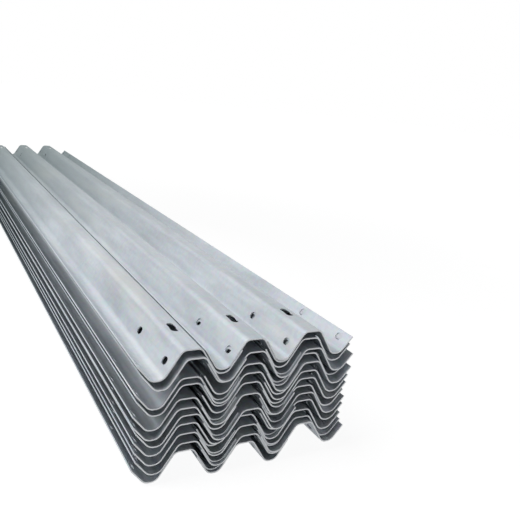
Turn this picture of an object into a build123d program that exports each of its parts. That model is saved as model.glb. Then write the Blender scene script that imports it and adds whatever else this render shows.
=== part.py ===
from build123d import *
from math import cos, radians, sin, tan
import os

os.makedirs("parts", exist_ok=True)

# A loose stack of two-wave highway guardrail rails. Each rail is a rolled steel sheet, laid with
# its face down, so that its two crowns point at the floor and the trough between them points up.
# The rails lie in three columns, one wave apart, and each column's flanges lap over the next.
# X runs across the rails, Y along them and Z up. The origin is on the floor, under the stack's
# middle. All sizes are in millimetres, angles in degrees.

# The rail's section
rail_length = 4320.0
rail_width = 312.0
rail_depth = 86.0
wave_pitch = 194.0
sheet = 4.0
slope_angle = 57.5
crown_width = 32.0
crown_bend_inside = 26.0
trough_bend_inside = 20.0

# The rails inside the stack show at their ends only, and each of their bends is drawn in flats
bend_flat_count = 3

# Slots for the bolts of a splice: four rows of two at each end
splice_slot_length = 29.0
splice_slot_width = 23.0
splice_row_from_crown = 37.0
splice_end_margin = 50.0
splice_spacing = 220.0

# Slots for the bolt of a post: one at each end, on the trough
post_slot_length = 64.0
post_slot_width = 20.0

# Which halves of each column's highest rail lie open, left (-1) or right (1), and show slots
open_halves = {"left": [-1], "middle": [-1], "right": [-1, 1]}
columns = list(open_halves)

# How the rails were laid, from the floor up: the column, and how far the rail lies to the right
# of that column's line. A rail that lies askew of the one below rides up on its slopes.
laid_rails = [
    ("middle", 0), ("left", 0), ("middle", 8), ("left", 8), ("right", 8), ("right", 3),
    ("middle", 3), ("left", 3), ("right", -6), ("middle", -6), ("left", -2), ("right", 3),
    ("middle", 4), ("left", 4), ("right", 8), ("left", -8), ("right", -6), ("middle", -6),
    ("left", -6), ("right", 1), ("middle", -2), ("right", 2), ("left", 4), ("middle", -2),
    ("left", -2), ("right", 2), ("middle", -2), ("right", -2), ("right", 6), ("middle", 6),
    ("left", 6), ("right", -4), ("left", -4), ("middle", -2), ("right", -2),
]

# How far each rail's end stands out, in turn, from the floor up
end_stagger = [0, 7, -5, 3, -9, 5, 1, 3, -1, 11, -3, 4, -11]

# The section is drawn on the upper side of the sheet, from the middle of the trough's top
slope_run = (rail_depth - sheet) / tan(radians(slope_angle))
crown_in = wave_pitch / 2 - crown_width / 2
crown_out = wave_pitch / 2 + crown_width / 2
crown_level = sheet - rail_depth
trough_half = crown_in - slope_run
edge_x = rail_width / 2 - sheet * sin(radians(slope_angle))
edge_level = crown_level + (edge_x - crown_out) * tan(radians(slope_angle))
trough_bend_outside = trough_bend_inside + sheet

# One rail rests on another where their slopes meet
nesting_lift = sheet / cos(radians(slope_angle))
askew_lift = tan(radians(slope_angle))

with BuildLine() as outline:
    upper_side = FilletPolyline(
        (-edge_x, edge_level),
        (-crown_out, crown_level),
        (-crown_in, crown_level),
        (-trough_half, 0),
        (trough_half, 0),
        (crown_in, crown_level),
        (crown_out, crown_level),
        (edge_x, edge_level),
        radius=[
            crown_bend_inside, crown_bend_inside, trough_bend_outside,
            trough_bend_outside, crown_bend_inside, crown_bend_inside,
        ],
    )

with BuildSketch() as round_section:
    with BuildLine():
        add(upper_side)
        offset(upper_side, amount=sheet, side=Side.RIGHT)
    make_face()

# The same section with each bend in flats
corners = []
for stretch in round_section.face().outer_wire().order_edges():
    flats = bend_flat_count if stretch.geom_type == GeomType.CIRCLE else 1
    corners += stretch.positions([step / flats for step in range(flats)])

with BuildSketch() as flat_section:
    with BuildLine():
        Polyline(*corners, close=True)
    make_face()


def cut_slots(middle, x_across, level, lean, slot_length, slot_width, from_middle):
    """Slots through the sheet, on a slope that leans away from level, at both ends of a rail."""
    normal = (sin(radians(lean)), 0, cos(radians(lean)))
    spot = (middle.X + x_across, middle.Y, middle.Z + level)
    with BuildSketch(Plane(origin=spot, x_dir=(0, 1, 0), z_dir=normal)) as slots:
        with Locations(*[(side * distance, 0) for distance in from_middle for side in (-1, 1)]):
            SlotOverall(slot_length, slot_width)
    extrude(slots.sketch, amount=1.5 * sheet, both=True, mode=Mode.SUBTRACT)


def make_rail(name, x, y, z, on_top, slotted_halves):
    """One rail, with the middle of its trough's top at x, y and z."""
    near_end = Plane(origin=(x, y - rail_length / 2, z), x_dir=(1, 0, 0), z_dir=(0, -1, 0))
    with BuildPart() as rail:
        with BuildSketch(near_end):
            add(round_section.sketch if on_top else flat_section.sketch)
        extrude(amount=-rail_length)
        if on_top:
            middle = Vector(x, y, z)
            first = rail_length / 2 - splice_end_margin
            splice_places = [first, first - splice_spacing]
            post_place = first - splice_spacing / 2
            row_level = crown_level + (splice_row_from_crown - crown_width / 2) * askew_lift
            for side in slotted_halves:
                for step in (-1, 1):
                    row = side * (wave_pitch / 2 + step * splice_row_from_crown)
                    lean = -side * step * slope_angle
                    cut_slots(middle, row, row_level, lean,
                              splice_slot_length, splice_slot_width, splice_places)
            cut_slots(middle, 0, 0, 0, post_slot_length, post_slot_width, [post_place])
    rail.part.label = name
    export_step(rail.part, f"parts/{name}.step")


# Each rail is let down until a slope meets a rail of its own or a neighbouring column
placed = []
for number, (column, askew) in enumerate(laid_rails):
    place = columns.index(column)
    level = rail_depth
    for other_place, other_askew, other_level, _ in placed:
        if abs(place - other_place) <= 1:
            lift = nesting_lift + abs(askew - other_askew) * askew_lift
            level = max(level, other_level + lift)
    placed.append((place, askew, level, end_stagger[number % len(end_stagger)]))

# The stack is set with its middle over the origin
across = [place * wave_pitch + askew for place, askew, level, stagger in placed]
along = [stagger for place, askew, level, stagger in placed]
middle_x = (min(across) + max(across)) / 2
middle_y = (min(along) + max(along)) / 2

for column in columns:
    in_column = [rail for rail in placed if rail[0] == columns.index(column)]
    for number, (place, askew, level, stagger) in enumerate(in_column, start=1):
        name = f"{column}_rail_{number:02d}"
        x = place * wave_pitch + askew - middle_x
        on_top = number == len(in_column)
        make_rail(name, x, stagger - middle_y, level, on_top, open_halves[column])
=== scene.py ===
"""A loose stack of galvanised two-wave highway guardrail rails, lying face down.

Every rail is a swept sheet with its bolt slots cut through it. X runs across the rails, Y along
them and Z up, in metres.
"""
from math import cos, pi, radians, sin, tan

import bpy
from mathutils import Matrix, Vector


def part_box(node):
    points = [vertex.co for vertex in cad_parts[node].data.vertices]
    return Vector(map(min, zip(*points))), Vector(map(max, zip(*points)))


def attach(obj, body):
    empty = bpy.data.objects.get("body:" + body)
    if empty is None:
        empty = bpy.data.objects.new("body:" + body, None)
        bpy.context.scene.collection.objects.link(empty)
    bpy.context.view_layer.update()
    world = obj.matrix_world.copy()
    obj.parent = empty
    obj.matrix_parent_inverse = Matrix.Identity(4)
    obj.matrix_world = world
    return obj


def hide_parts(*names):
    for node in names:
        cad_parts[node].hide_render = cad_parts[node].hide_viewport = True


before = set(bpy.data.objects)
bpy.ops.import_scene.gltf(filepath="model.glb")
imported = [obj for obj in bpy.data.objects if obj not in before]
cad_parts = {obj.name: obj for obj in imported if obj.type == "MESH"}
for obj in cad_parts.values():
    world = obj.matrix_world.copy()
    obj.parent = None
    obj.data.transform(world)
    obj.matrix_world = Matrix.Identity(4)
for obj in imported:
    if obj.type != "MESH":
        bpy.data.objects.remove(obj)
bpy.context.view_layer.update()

# The rail's section
SHEET = 0.004
RAIL_WIDTH = 0.312
RAIL_DEPTH = 0.086
WAVE_PITCH = 0.194
SLOPE = radians(57.5)
CROWN_WIDTH = 0.032
CROWN_BEND_INSIDE = 0.026
TROUGH_BEND_INSIDE = 0.020
BEND_STEPS = 10
EDGE_ROUNDING = 0.0006

# A flange at the stack's left or right side, which no other column laps over
FREE_FLANGE_SLOPE = radians(50.0)

# The slots at each end of a rail
SPLICE_SLOT = (0.029, 0.023)
SPLICE_ROW_FROM_CROWN = 0.037
SPLICE_END_MARGIN = 0.050
SPLICE_SPACING = 0.220
POST_SLOT = (0.064, 0.020)
PUNCH_DEPTH = 0.016
ROUND_END_STEPS = 7

# How the sheet strays from dead straight
STATIONS = 44
EDGE_WAVE = 0.0012
EDGE_WAVE_LENGTH = 0.55

# An edge whose faces turn by more than this is shaded crisp
CRISP_EDGE = radians(28.0)

# The photograph's camera, from the near end of the left column's highest rail
CAMERA_FROM_NEAR_END = Vector((-0.651, -1.422, 0.6945))
CAMERA_YAW = radians(30.2)
CAMERA_PITCH = radians(15.21)
CAMERA_ROLL = radians(6.65)
CAMERA_FOCAL_PX = 619.0
PHOTO_PX = 520.0
SENSOR_WIDTH = 36.0

# The soft lamps: where each hangs, what it points at, its width and its power in watts
LAMPS = {
    "sky_lamp": ((-1.6, -1.1, 3.4), (-0.1, -1.1, 0.3), 3.0, 98.0),
    "left_lamp": ((-2.6, -1.2, 2.2), (-0.35, -0.9, 0.2), 2.0, 12.0),
}
SKY_COLOUR = (0.95, 0.98, 1.0)
SKY_LEVEL = 0.10

# The floor: how it bounces light, and how it is seen near the stack and far from it
FLOOR_REACH = 30.0
FLOOR_BOUNCE = 0.38
FLOOR_MATT = 0.22
FLOOR_GLOW = (0.90, 1.0)
GLOW_DISTANCES = (1.6, 5.0)

# The zinc, in linear colours
ZINC_DARK = (0.50, 0.54, 0.58)
ZINC_LIGHT = (0.62, 0.66, 0.70)
ZINC_STAIN = (0.66, 0.67, 0.63)
# Painted shade: the zinc's colour at the far end, darker where the lamps' light falls off
ZINC_FAR_SHADE = (0.27, 0.34, 0.35)
# Painted highlight on a rail's cut ends
ZINC_CUT_HIGHLIGHT = (0.86, 0.88, 0.90)
# Where along the rails the painted far-end shade runs, and how much of it there is at most
FAR_SHADE_SPAN = (-1.0, 2.2)
FAR_SHADE_MOST = 0.9


def filleted(corners, radii, steps):
    """Points along a bent line, each with the line's direction there."""
    line = []
    for index, corner in enumerate(corners):
        if index in (0, len(corners) - 1):
            inner = corners[1] if index == 0 else corners[-2]
            way = (inner - corner) if index == 0 else (corner - inner)
            line.append((corner, way.normalized()))
            continue
        into = (corner - corners[index - 1]).normalized()
        out = (corners[index + 1] - corner).normalized()
        turn = into.angle_signed(out)
        reach = radii[index] * tan(abs(turn) / 2)
        start = corner - into * reach
        side = Vector((-into.y, into.x)) * (-1 if turn > 0 else 1)
        centre = start + side * radii[index]
        for step in range(steps + 1):
            spin = Matrix.Rotation(-turn * step / steps, 2)
            line.append((centre + spin @ (start - centre), spin @ into))
    return line


def half_section(free):
    """Half a section's corners, from the trough out to the flange's edge.

    A free flange, which no other column laps over, stands a little more open.
    """
    flange_slope = FREE_FLANGE_SLOPE if free else SLOPE
    drop = RAIL_DEPTH - SHEET
    crown_in = (WAVE_PITCH - CROWN_WIDTH) / 2
    crown_out = (WAVE_PITCH + CROWN_WIDTH) / 2
    trough_half = crown_in - drop / tan(SLOPE)
    edge = RAIL_WIDTH / 2 - SHEET * sin(flange_slope)
    edge_level = (edge - crown_out) * tan(flange_slope) - drop
    return [(trough_half, 0), (crown_in, -drop), (crown_out, -drop), (edge, edge_level)]


def section_outline(left_free, right_free):
    """The sheet's closed outline, across the rail, from the middle of the trough's top."""
    left, right = half_section(left_free), half_section(right_free)
    corners = [Vector((-x, z)) for x, z in reversed(left)] + [Vector((x, z)) for x, z in right]
    half_radii = [TROUGH_BEND_INSIDE + SHEET, CROWN_BEND_INSIDE, CROWN_BEND_INSIDE, 0]
    upper = filleted(corners, half_radii[::-1] + half_radii, BEND_STEPS)
    top, under = [], []
    for point, way in upper:
        down = Vector((way.y, -way.x))
        top.append(point)
        under.append(point + down * SHEET)
    for side in (top, under):
        first_way, last_way = upper[0][1], upper[-1][1]
        side.insert(1, side[0] + first_way * EDGE_ROUNDING)
        side.insert(-1, side[-1] - last_way * EDGE_ROUNDING)
    cut = EDGE_ROUNDING / SHEET
    for end in (0, -1):
        over, below = top[end].copy(), under[end].copy()
        top[end] = over.lerp(below, cut)
        under[end] = below.lerp(over, cut)
    return under + top[::-1]


def section_mesh(left_free, right_free):
    """The outline as a ring of edges, turned so that the sweep stands it upright."""
    ring = section_outline(left_free, right_free)
    mesh = bpy.data.meshes.new("rail_section")
    edges = [(index, (index + 1) % len(ring)) for index in range(len(ring))]
    mesh.from_pydata([(point.x, -point.y, 0) for point in ring], edges, [])
    return mesh


class Tree:
    """A Geometry Nodes tree, written node by node."""

    def __init__(self, name, inputs):
        self.group = bpy.data.node_groups.new(name, "GeometryNodeTree")
        face = self.group.interface
        face.new_socket("Geometry", in_out="INPUT", socket_type="NodeSocketGeometry")
        self.identifiers = {}
        for label, kind in inputs.items():
            socket = face.new_socket(label, in_out="INPUT", socket_type="NodeSocket" + kind)
            self.identifiers[label] = socket.identifier
        face.new_socket("Geometry", in_out="OUTPUT", socket_type="NodeSocketGeometry")
        self.source = self.group.nodes.new("NodeGroupInput")
        self.sink = self.group.nodes.new("NodeGroupOutput")

    def given(self, label):
        """The tree's own input of that name."""
        return self.source.outputs[label]

    def node(self, kind, inputs=(), **settings):
        """A new node, with its inputs linked or set, by name or by number."""
        node = self.group.nodes.new(kind)
        for key, value in settings.items():
            setattr(node, key, value)
        for key, value in dict(inputs).items():
            if isinstance(value, (list, tuple)) and value and hasattr(value[0], "is_output"):
                for one in value:
                    self.group.links.new(one, node.inputs[key])
            elif hasattr(value, "is_output"):
                self.group.links.new(value, node.inputs[key])
            else:
                node.inputs[key].default_value = value
        return node.outputs[0]

    def math(self, operation, *values):
        """One sum on numbers."""
        return self.node("ShaderNodeMath", dict(enumerate(values)), operation=operation)

    def vector(self, x=0.0, y=0.0, z=0.0):
        """Three numbers as a vector."""
        return self.node("ShaderNodeCombineXYZ", {"X": x, "Y": y, "Z": z})

    def finish(self, geometry):
        """Links the tree's result."""
        self.group.links.new(geometry, self.sink.inputs[0])


def punch(tree, length, width, depth):
    """A slot's cutter: a flat bar with round ends, along Y, that goes right through the sheet."""
    bar = tree.node("GeometryNodeCurvePrimitiveQuadrilateral", {"Width": width, "Height": length})
    round_end = tree.math("MULTIPLY", width, 0.4999)
    slot = tree.node("GeometryNodeFilletCurve", {"Curve": bar, "Radius": round_end}, mode="POLY")
    slot.node.inputs["Count"].default_value = ROUND_END_STEPS
    flat = tree.node("GeometryNodeFillCurve", {"Curve": slot}, mode="NGONS")
    flipped = tree.node("GeometryNodeFlipFaces", {"Mesh": flat})
    solid = tree.node("GeometryNodeExtrudeMesh", {
        "Mesh": flat, "Offset Scale": depth, "Individual": False})
    closed = tree.node("GeometryNodeJoinGeometry", {"Geometry": [flipped, solid]})
    welded = tree.node("GeometryNodeMergeByDistance", {"Geometry": closed, "Distance": 1e-6})
    half = tree.math("MULTIPLY", depth, -0.5)
    return tree.node("GeometryNodeTransform", {
        "Geometry": welded, "Translation": tree.vector(z=half)})


def rail_tree():
    """A rail: its section swept along Y, slotted at both ends, waved and set in its place."""
    tree = Tree("guardrail_rail", {
        "Length": "Float", "Stations": "Int", "Wave Pitch": "Float", "Slope": "Float",
        "Crown Width": "Float", "Depth": "Float", "Row From Crown": "Float",
        "End Margin": "Float", "Spacing": "Float", "Splice Length": "Float",
        "Splice Width": "Float", "Post Length": "Float", "Post Width": "Float",
        "Punch Depth": "Float", "Edge Wave": "Float", "Wave Length": "Float",
        "Place": "Vector", "Seed": "Float", "Material": "Material",
    })
    given, math = tree.given, tree.math
    half_length = math("MULTIPLY", given("Length"), 0.5)

    # The sweep
    ring = tree.node("GeometryNodeMeshToCurve", {"Mesh": given("Geometry")})
    near = tree.vector(y=math("MULTIPLY", half_length, -1.0))
    line = tree.node("GeometryNodeCurvePrimitiveLine", {
        "Start": near, "End": tree.vector(y=half_length)})
    path = tree.node("GeometryNodeResampleCurve", {"Curve": line, "Count": given("Stations")})
    blank = tree.node("GeometryNodeCurveToMesh", {
        "Curve": path, "Profile Curve": ring, "Fill Caps": True})

    # Four rows of splice slots: the sheet leans right, left, right, left
    row = tree.node("GeometryNodeInputIndex")
    odd = math("MODULO", row, 2.0)
    lean = math("SUBTRACT", 1.0, math("MULTIPLY", odd, 2.0))
    side = math("SUBTRACT", math("MULTIPLY", math("GREATER_THAN", row, 1.5), 2.0), 1.0)
    crown = math("MULTIPLY", side, math("MULTIPLY", given("Wave Pitch"), 0.5))
    across = math("SUBTRACT", crown, math("MULTIPLY", lean, given("Row From Crown")))
    half_crown = math("MULTIPLY", given("Crown Width"), 0.5)
    up_slope = math("SUBTRACT", given("Row From Crown"), half_crown)
    level = math("SUBTRACT", math("MULTIPLY", up_slope, math("TANGENT", given("Slope"))),
                 given("Depth"))
    row_points = tree.node("GeometryNodeMeshLine", {"Count": 4})
    rows = tree.node("GeometryNodeSetPosition", {
        "Geometry": row_points, "Position": tree.vector(across, 0.0, level)})
    splice = punch(tree, given("Splice Length"), given("Splice Width"), given("Punch Depth"))
    tilt = tree.vector(y=math("MULTIPLY", lean, given("Slope")))
    rotation = tree.node("FunctionNodeEulerToRotation", {"Euler": tilt})
    row_of_slots = tree.node("GeometryNodeInstanceOnPoints", {
        "Points": rows, "Instance": splice, "Rotation": rotation})

    # Two such rows, one on each side of the post slot, in from the end
    pair = tree.node("GeometryNodeMeshLine", {
        "Count": 2, "Start Location": tree.vector(y=given("End Margin")),
        "Offset": tree.vector(y=given("Spacing"))})
    splices = tree.node("GeometryNodeInstanceOnPoints", {"Points": pair, "Instance": row_of_slots})
    post = punch(tree, given("Post Length"), given("Post Width"), given("Punch Depth"))
    post_place = math("ADD", given("End Margin"), math("MULTIPLY", given("Spacing"), 0.5))
    post_slot = tree.node("GeometryNodeTransform", {
        "Geometry": post, "Translation": tree.vector(y=post_place)})
    end_slots = tree.node("GeometryNodeJoinGeometry", {"Geometry": [splices, post_slot]})
    near_slots = tree.node("GeometryNodeTransform", {"Geometry": end_slots, "Translation": near})
    far_slots = tree.node("GeometryNodeTransform", {
        "Geometry": near_slots, "Rotation": (0.0, 0.0, pi)})
    all_slots = tree.node("GeometryNodeJoinGeometry", {"Geometry": [near_slots, far_slots]})
    punches = tree.node("GeometryNodeRealizeInstances", {"Geometry": all_slots})
    punched = tree.node("GeometryNodeMeshBoolean", {"Mesh 1": blank, "Mesh 2": punches},
                        operation="DIFFERENCE", solver="MANIFOLD")

    # The flanges' edges wave a little, more the further they stand from the crown
    position = tree.node("GeometryNodeInputPosition")
    split = tree.node("ShaderNodeSeparateXYZ", {"Vector": position}).node.outputs
    along = math("ADD", math("DIVIDE", split["Y"], given("Wave Length")),
                 math("MULTIPLY", given("Seed"), 7.3))
    which_side = math("MULTIPLY", math("SIGN", split["X"]), 3.7)
    noise = tree.node("ShaderNodeTexNoise", {
        "Vector": tree.vector(along, which_side, given("Seed")), "Scale": 1.0, "Detail": 1.0})
    out = math("SUBTRACT", math("ABSOLUTE", split["X"]), math("MULTIPLY", given("Wave Pitch"), 0.5))
    reach = math("MAXIMUM", math("DIVIDE", out, math("MULTIPLY", given("Wave Pitch"), 0.3)), 0.0)
    lift = math("MULTIPLY", math("MULTIPLY", reach, noise), given("Edge Wave"))
    waved = tree.node("GeometryNodeSetPosition", {
        "Geometry": punched, "Offset": tree.vector(z=lift)})
    placed = tree.node("GeometryNodeTransform", {"Geometry": waved, "Translation": given("Place")})

    # Finish: smooth bends, crisp cut edges, a number that tells one rail from the next, and a
    # mark on the faces of a rail's two cut ends, where the material paints a highlight on them
    angle = tree.node("GeometryNodeInputMeshEdgeAngle")
    crisp = math("LESS_THAN", angle, CRISP_EDGE)
    soft = tree.node("GeometryNodeSetShadeSmooth", {"Geometry": placed, "Shade Smooth": True})
    shaded = tree.node("GeometryNodeSetShadeSmooth", {
        "Geometry": soft, "Shade Smooth": crisp}, domain="EDGE")
    marked = tree.node("GeometryNodeStoreNamedAttribute", {
        "Geometry": shaded, "Name": "rail_seed", "Value": given("Seed")})
    facing = tree.node("ShaderNodeSeparateXYZ", {"Vector": tree.node("GeometryNodeInputNormal")})
    at_end = math("GREATER_THAN", math("ABSOLUTE", facing.node.outputs["Y"]), 0.95)
    ends_marked = tree.node("GeometryNodeStoreNamedAttribute", {
        "Geometry": marked, "Name": "cut_end", "Value": at_end}, domain="FACE")
    real = tree.node("GeometryNodeRealizeInstances", {"Geometry": ends_marked})
    tree.finish(tree.node("GeometryNodeSetMaterial", {
        "Geometry": real, "Material": given("Material")}))
    return tree


def make_rail(tree, name, seed, material):
    """The detailed rail that stands for the CAD rail of that name."""
    low, high = (Vector(corner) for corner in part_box(name))
    middle = (low + high) / 2
    section = section_mesh(name.startswith("left"), name.startswith("right"))
    blank = bpy.data.objects.new(name + "_blank", section)
    bpy.context.scene.collection.objects.link(blank)
    modifier = blank.modifiers.new("rail", "NODES")
    modifier.node_group = tree.group
    values = {
        "Length": high.y - low.y, "Stations": STATIONS, "Wave Pitch": WAVE_PITCH,
        "Slope": SLOPE, "Crown Width": CROWN_WIDTH, "Depth": RAIL_DEPTH - SHEET,
        "Row From Crown": SPLICE_ROW_FROM_CROWN, "End Margin": SPLICE_END_MARGIN,
        "Spacing": SPLICE_SPACING, "Splice Length": SPLICE_SLOT[0],
        "Splice Width": SPLICE_SLOT[1], "Post Length": POST_SLOT[0],
        "Post Width": POST_SLOT[1], "Punch Depth": PUNCH_DEPTH, "Edge Wave": EDGE_WAVE,
        "Wave Length": EDGE_WAVE_LENGTH, "Place": (middle.x, middle.y, high.z),
        "Seed": float(seed), "Material": material,
    }
    for label, value in values.items():
        modifier[tree.identifiers[label]] = value
    graph = bpy.context.evaluated_depsgraph_get()
    mesh = bpy.data.meshes.new_from_object(blank.evaluated_get(graph))
    bpy.data.objects.remove(blank)
    piece = bpy.data.objects.new(name + "_sheet", mesh)
    bpy.context.scene.collection.objects.link(piece)
    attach(piece, "root")
    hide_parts(name)
    return piece


class Shader:
    """A material's node tree, written node by node."""

    def __init__(self, name):
        self.material = bpy.data.materials.new(name)
        self.material.use_nodes = True
        self.tree = self.material.node_tree
        self.tree.nodes.clear()

    def node(self, kind, inputs=(), output=0, **settings):
        """A new node, with its inputs linked or set, by name or by number."""
        node = self.tree.nodes.new(kind)
        for key, value in settings.items():
            setattr(node, key, value)
        for key, value in dict(inputs).items():
            if hasattr(value, "is_output"):
                self.tree.links.new(value, node.inputs[key])
            else:
                node.inputs[key].default_value = value
        return node.outputs[output] if node.outputs else node

    def ramp(self, factor, *stops):
        """A colour ramp from (place, grey or colour) stops."""
        out = self.node("ShaderNodeValToRGB", {"Fac": factor})
        elements = out.node.color_ramp.elements
        while len(elements) < len(stops):
            elements.new(0.5)
        for element, (place, colour) in zip(elements, stops):
            element.position = place
            whole = colour if isinstance(colour, tuple) else (colour, colour, colour)
            element.color = (*whole, 1.0)
        return out

    def mix(self, factor, first, second, blend="MIX"):
        """Two colours, mixed."""
        node = self.tree.nodes.new("ShaderNodeMix")
        node.data_type = "RGBA"
        node.blend_type = blend
        for key, value in (("Factor", factor), ("A", first), ("B", second)):
            sockets = [s for s in node.inputs if s.name == key and s.enabled]
            if hasattr(value, "is_output"):
                self.tree.links.new(value, sockets[0])
            elif isinstance(value, tuple):
                sockets[0].default_value = (*value, 1.0)
            else:
                sockets[0].default_value = value
        return [s for s in node.outputs if s.enabled][0]


def grey(level):
    """A grey, as a colour socket takes it."""
    return (level, level, level, 1.0)


def galvanised_steel():
    """Weathered hot-dip zinc: soft blotches, a faint spangle, streaks along the rail, stains.

    It is darkened towards the far end by painted shade, and a painted highlight
    lightens a rail's cut ends.
    """
    shader = Shader("galvanised_steel")
    place = shader.node("ShaderNodeTexCoord", output=3)
    seed = shader.node("ShaderNodeAttribute", output=2, attribute_name="rail_seed")
    seed_offset = shader.node("ShaderNodeCombineXYZ", {"X": seed, "Y": seed, "Z": seed})
    moved = shader.node("ShaderNodeVectorMath", {0: place, 1: seed_offset}, operation="ADD")
    along = shader.node("ShaderNodeMapping", {"Vector": moved, "Scale": (1.0, 0.10, 1.0)})
    drawn_out = shader.node("ShaderNodeMapping", {"Vector": moved, "Scale": (1.0, 0.3, 1.0)})
    blotch = shader.node("ShaderNodeTexNoise", {
        "Vector": drawn_out, "Scale": 9.0, "Detail": 5.0, "Roughness": 0.62})
    streak = shader.node("ShaderNodeTexNoise", {
        "Vector": along, "Scale": 22.0, "Detail": 6.0, "Roughness": 0.62})
    spangle = shader.node("ShaderNodeTexVoronoi", {
        "Vector": moved, "Scale": 75.0, "Randomness": 1.0}, output=1)
    stain = shader.node("ShaderNodeTexNoise", {
        "Vector": along, "Scale": 9.0, "Detail": 3.0, "Distortion": 0.6})
    tone = shader.ramp(blotch, (0.30, ZINC_DARK), (0.72, ZINC_LIGHT))
    streaked = shader.mix(0.5, tone, shader.ramp(streak, (0.35, 0.66), (0.65, 1.0)), "MULTIPLY")
    flecked = shader.mix(0.06, streaked, spangle, "OVERLAY")
    where = shader.ramp(stain, (0.56, 0.0), (0.74, 0.5))
    stained = shader.mix(where, flecked, ZINC_STAIN)
    lengthwise = shader.node("ShaderNodeSeparateXYZ", {"Vector": place}, output=1)
    # Painted shade: the zinc darkens towards the far end, standing in for the lamps' falloff
    far = shader.node("ShaderNodeMapRange", {
        "Value": lengthwise, "From Min": FAR_SHADE_SPAN[0], "From Max": FAR_SHADE_SPAN[1],
        "To Min": 0.0, "To Max": FAR_SHADE_MOST})
    far_shaded = shader.mix(far, stained, ZINC_FAR_SHADE)
    # Painted highlight: a rail's cut ends are lightened towards near white
    cut_end = shader.node("ShaderNodeAttribute", output=2, attribute_name="cut_end")
    finished = shader.mix(cut_end, far_shaded, ZINC_CUT_HIGHLIGHT)
    rough = shader.ramp(blotch, (0.3, 0.50), (0.7, 0.64))
    bump = shader.node("ShaderNodeBump", {
        "Strength": 0.12, "Distance": 0.0008, "Height": streak})
    surface = shader.node("ShaderNodeBsdfPrincipled", {
        "Base Color": finished, "Roughness": rough, "Metallic": 0.5, "Normal": bump})
    shader.node("ShaderNodeOutputMaterial", {"Surface": surface})
    return shader.material


def pale_floor():
    """A floor that is seen as near white, and that keeps the stack's shadow."""
    shader = Shader("floor_white")
    path = shader.node("ShaderNodeLightPath")
    outputs = path.node.outputs
    seen = shader.node("ShaderNodeMath", {
        0: outputs["Is Camera Ray"], 1: outputs["Is Glossy Ray"]}, operation="MAXIMUM")
    matt = shader.node("ShaderNodeBsdfDiffuse", {"Color": grey(FLOOR_MATT)})
    place = shader.node("ShaderNodeTexCoord", output=3)
    away = shader.node("ShaderNodeVectorMath", {0: place}, output=1, operation="LENGTH")
    level = shader.node("ShaderNodeMapRange", {
        "Value": away, "From Min": GLOW_DISTANCES[0], "From Max": GLOW_DISTANCES[1],
        "To Min": FLOOR_GLOW[0], "To Max": FLOOR_GLOW[1]})
    glow = shader.node("ShaderNodeEmission", {"Color": grey(1.0), "Strength": level})
    bright = shader.node("ShaderNodeAddShader", {0: matt, 1: glow})
    plain = shader.node("ShaderNodeBsdfDiffuse", {"Color": grey(FLOOR_BOUNCE)})
    surface = shader.node("ShaderNodeMixShader", {0: seen, 1: plain, 2: bright})
    shader.node("ShaderNodeOutputMaterial", {"Surface": surface})
    return shader.material


def make_floor():
    """A wide plain floor under the stack."""
    mesh = bpy.data.meshes.new("floor")
    turns = ((-1, -1), (1, -1), (1, 1), (-1, 1))
    corners = [(x * FLOOR_REACH, y * FLOOR_REACH, 0) for x, y in turns]
    mesh.from_pydata(corners, [], [(0, 1, 2, 3)])
    floor = bpy.data.objects.new("floor", mesh)
    floor.data.materials.append(pale_floor())
    bpy.context.scene.collection.objects.link(floor)


def make_camera(near_end):
    """The photograph's camera: looking along the rails from their near left, rolled a little."""
    forward = Vector((sin(CAMERA_YAW) * cos(CAMERA_PITCH),
                      cos(CAMERA_YAW) * cos(CAMERA_PITCH),
                      -sin(CAMERA_PITCH)))
    right = Vector((cos(CAMERA_YAW), -sin(CAMERA_YAW), 0))
    up = right.cross(forward)
    rolled_right = right * cos(CAMERA_ROLL) + up * sin(CAMERA_ROLL)
    rolled_up = up * cos(CAMERA_ROLL) - right * sin(CAMERA_ROLL)
    lens = bpy.data.cameras.new("camera")
    lens.sensor_width = SENSOR_WIDTH
    lens.lens = SENSOR_WIDTH * CAMERA_FOCAL_PX / PHOTO_PX
    lens.clip_end = 100.0
    camera = bpy.data.objects.new("camera", lens)
    turn = Matrix((rolled_right, rolled_up, -forward)).transposed().to_4x4()
    camera.matrix_world = Matrix.Translation(near_end + CAMERA_FROM_NEAR_END) @ turn
    bpy.context.scene.collection.objects.link(camera)
    bpy.context.scene.camera = camera


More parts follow.
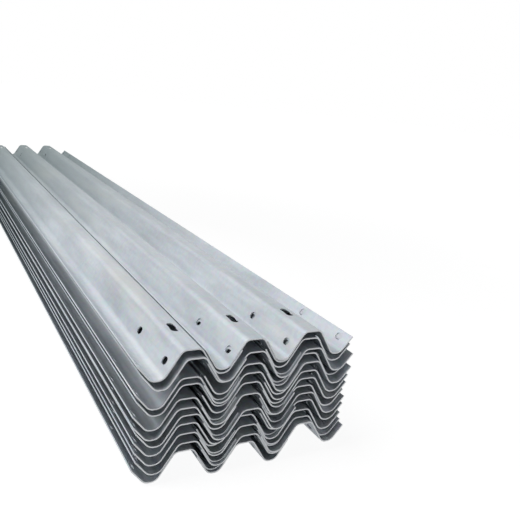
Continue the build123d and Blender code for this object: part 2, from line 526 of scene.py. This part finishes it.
def make_sky():
    """A plain sky, which is seen as white and lights the stack only a little."""
    world = bpy.data.worlds.new("sky")
    bpy.context.scene.world = world
    world.use_nodes = True
    nodes, links = world.node_tree.nodes, world.node_tree.links
    nodes.clear()
    path = nodes.new("ShaderNodeLightPath")
    direct = nodes.new("ShaderNodeMath")
    direct.operation = "MAXIMUM"
    shown = nodes.new("ShaderNodeMath")
    shown.operation = "MAXIMUM"
    links.new(path.outputs["Is Camera Ray"], direct.inputs[0])
    links.new(path.outputs["Is Glossy Ray"], direct.inputs[1])
    links.new(direct.outputs[0], shown.inputs[0])
    links.new(path.outputs["Is Transmission Ray"], shown.inputs[1])
    seen = nodes.new("ShaderNodeBackground")
    seen.inputs["Color"].default_value = (1.0, 1.0, 1.0, 1.0)
    seen.inputs["Strength"].default_value = 1.0
    lit = nodes.new("ShaderNodeBackground")
    lit.inputs["Color"].default_value = (*SKY_COLOUR, 1.0)
    lit.inputs["Strength"].default_value = SKY_LEVEL
    mix = nodes.new("ShaderNodeMixShader")
    out = nodes.new("ShaderNodeOutputWorld")
    links.new(shown.outputs[0], mix.inputs[0])
    links.new(lit.outputs[0], mix.inputs[1])
    links.new(seen.outputs[0], mix.inputs[2])
    links.new(mix.outputs[0], out.inputs["Surface"])


def make_lamps():
    """The square soft lamps above the stack and to its left."""
    for name, (place, aim, size, watts) in LAMPS.items():
        lamp = bpy.data.lights.new(name, "AREA")
        lamp.size = size
        lamp.energy = watts
        holder = bpy.data.objects.new(name, lamp)
        holder.location = place
        way = Vector(aim) - Vector(place)
        holder.rotation_euler = way.to_track_quat("-Z", "Y").to_euler()
        bpy.context.scene.collection.objects.link(holder)


def main():
    """The rails in their places, the floor, the camera and the light."""
    nodes = sorted(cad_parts)
    highest_left = max((name for name in nodes if name.startswith("left")),
                       key=lambda name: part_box(name)[1][2])
    low, high = (Vector(corner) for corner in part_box(highest_left))
    near_end = Vector(((low.x + high.x) / 2, low.y, high.z))
    tree = rail_tree()
    steel = galvanised_steel()
    for seed, name in enumerate(nodes):
        make_rail(tree, name, seed, steel)
    make_floor()
    make_camera(near_end)
    make_sky()
    make_lamps()
    bpy.context.scene.view_settings.view_transform = "Standard"


main()
